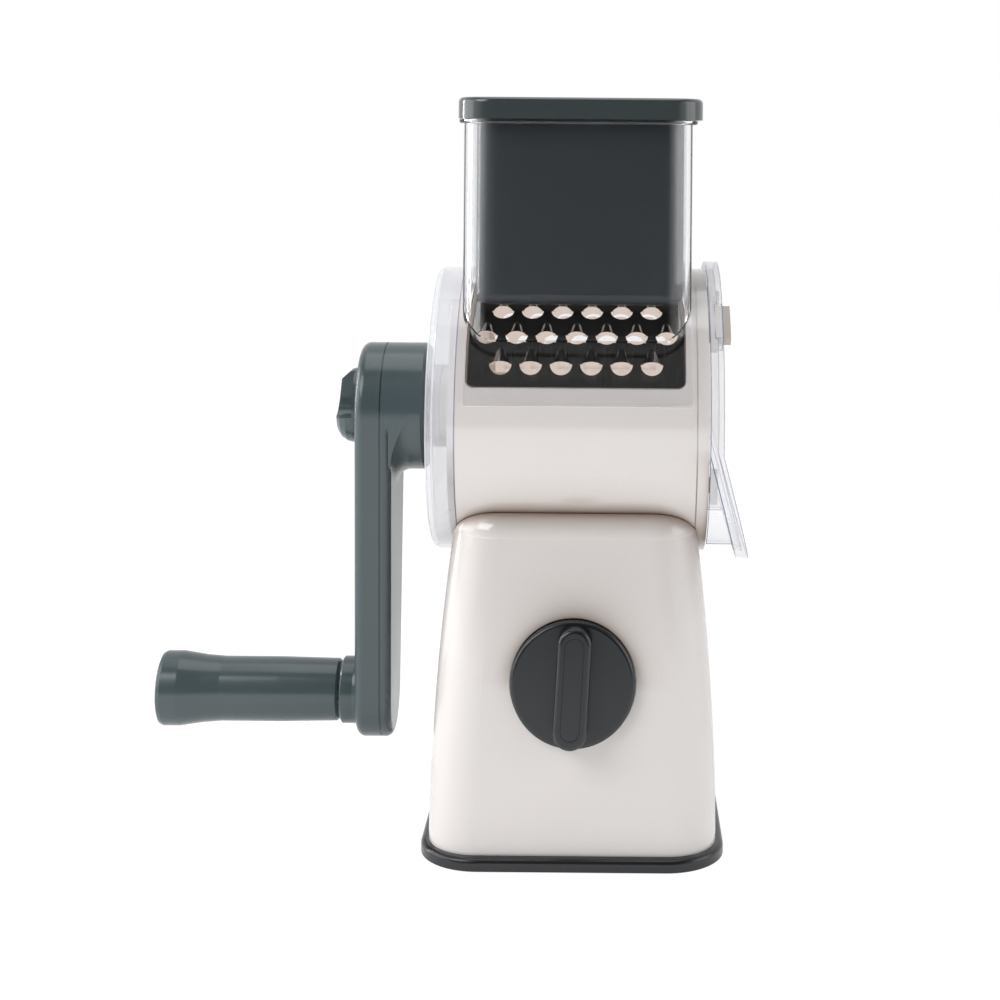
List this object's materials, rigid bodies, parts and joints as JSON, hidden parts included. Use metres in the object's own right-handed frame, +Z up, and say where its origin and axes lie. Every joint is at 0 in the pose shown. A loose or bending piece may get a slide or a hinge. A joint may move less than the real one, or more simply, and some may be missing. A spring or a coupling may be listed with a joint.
{
  "type": "rotary vegetable shredder",
  "caption": "Hand-cranked drum shredder on a suction base, with a clear hopper, a pusher and a clear outlet guard.",
  "frame": {"origin": "on the table, under the middle of the drum and of the base", "axes": "+X along the drum's axis from the crank to the outlet, +Y away from the suction knob, +Z up"},
  "size_m": [0.2261, 0.1309, 0.2733],
  "materials": {
    "white": "glossy off-white ABS",
    "dark": "satin charcoal grey plastic",
    "slate": "semi-gloss slate grey plastic",
    "collar": "dark grey plastic",
    "clear": "clear plastic",
    "beige": "beige plastic",
    "steel": "stamped stainless steel",
    "pin": "bright steel",
    "cup": "soft black rubber",
    "bush": "natural acetal",
    "inner": "cream plastic"
  },
  "bodies": {
    "base": {"base_shell": "white", "base_frame": "dark", "base_screws": "pin", "suction_pad": "cup"},
    "knob": {"suction_knob": "dark", "knob_inset": "slate", "knob_screw": "pin", "cam_shaft": "pin", "lift_cam": "bush", "shaft_clip": "steel"},
    "stem": {"pull_stem": "bush"},
    "housing": {"barrel_housing": "white", "rear_cap": "clear", "bearing_bush": "bush", "hopper": "clear"},
    "pusher": {"pusher_body": "dark", "pusher_lid": "dark"},
    "drive": {"drive_shaft": "collar", "drum_sheet": "steel", "drum_hub": "inner", "drum_front_ring": "inner"},
    "crank": {"crank_outer_shell": "slate", "crank_inner_shell": "slate", "grip_collar": "collar", "handle_spindle": "pin", "grip_retainer": "pin"},
    "lock": {"crank_lock_knob": "collar", "lock_bolt": "pin"},
    "grip": {"handle_grip": "slate", "grip_end_cap": "slate"},
    "guard": {"guard": "clear", "hook_front": "beige", "hook_rear": "beige"},
    "front_latch": {"latch_front": "beige"},
    "rear_latch": {"latch_rear": "beige"}
  },
  "joints": [
    {"name": "housing_lift", "type": "slide", "parent": "base", "child": "housing", "axis": [0, 0, 1], "range_m": [0, 0.035]},
    {"name": "suction_turn", "type": "hinge", "parent": "base", "child": "knob", "pos_m": [0, -0.05382, 0.0642], "axis": [0, 0.996, -0.0899], "range_deg": [0, 90]},
    {"name": "stem_lift", "type": "slide", "parent": "base", "child": "stem", "axis": [0, 0, 1], "range_m": [0, 0.005], "deforming": ["suction_pad"]},
    {"name": "pusher_slide", "type": "slide", "parent": "housing", "child": "pusher", "axis": [0, 0, 1], "range_m": [0, 0.075]},
    {"name": "crank_turn", "type": "hinge", "parent": "housing", "child": "drive", "pos_m": [0, 0, 0.1547], "axis": [1, 0, 0], "continuous": true},
    {"name": "crank_pull", "type": "slide", "parent": "drive", "child": "crank", "axis": [-1, 0, 0], "range_m": [0, 0.045]},
    {"name": "lock_turn", "type": "hinge", "parent": "crank", "child": "lock", "pos_m": [-0.088, 0, 0.1547], "axis": [1, 0, 0], "range_deg": [0, 90]},
    {"name": "grip_spin", "type": "hinge", "parent": "crank", "child": "grip", "pos_m": [-0.12, 0, 0.0445], "axis": [1, 0, 0], "continuous": true},
    {"name": "guard_pull", "type": "slide", "parent": "housing", "child": "guard", "axis": [1, 0, 0], "range_m": [0, 0.05]},
    {"name": "front_latch_press", "type": "slide", "parent": "guard", "child": "front_latch", "axis": [0, 0.7145, -0.6997], "range_m": [0, 0.0012], "stiffness_N_per_m": 800, "springref_m": -0.001},
    {"name": "rear_latch_press", "type": "slide", "parent": "guard", "child": "rear_latch", "axis": [0, -0.7145, -0.6997], "range_m": [0, 0.0012], "stiffness_N_per_m": 800, "springref_m": -0.001}
  ],
  "couplings": [
    {"joint": "stem_lift", "follows": "suction_turn", "m_per_rad": 0.00318}
  ]
}
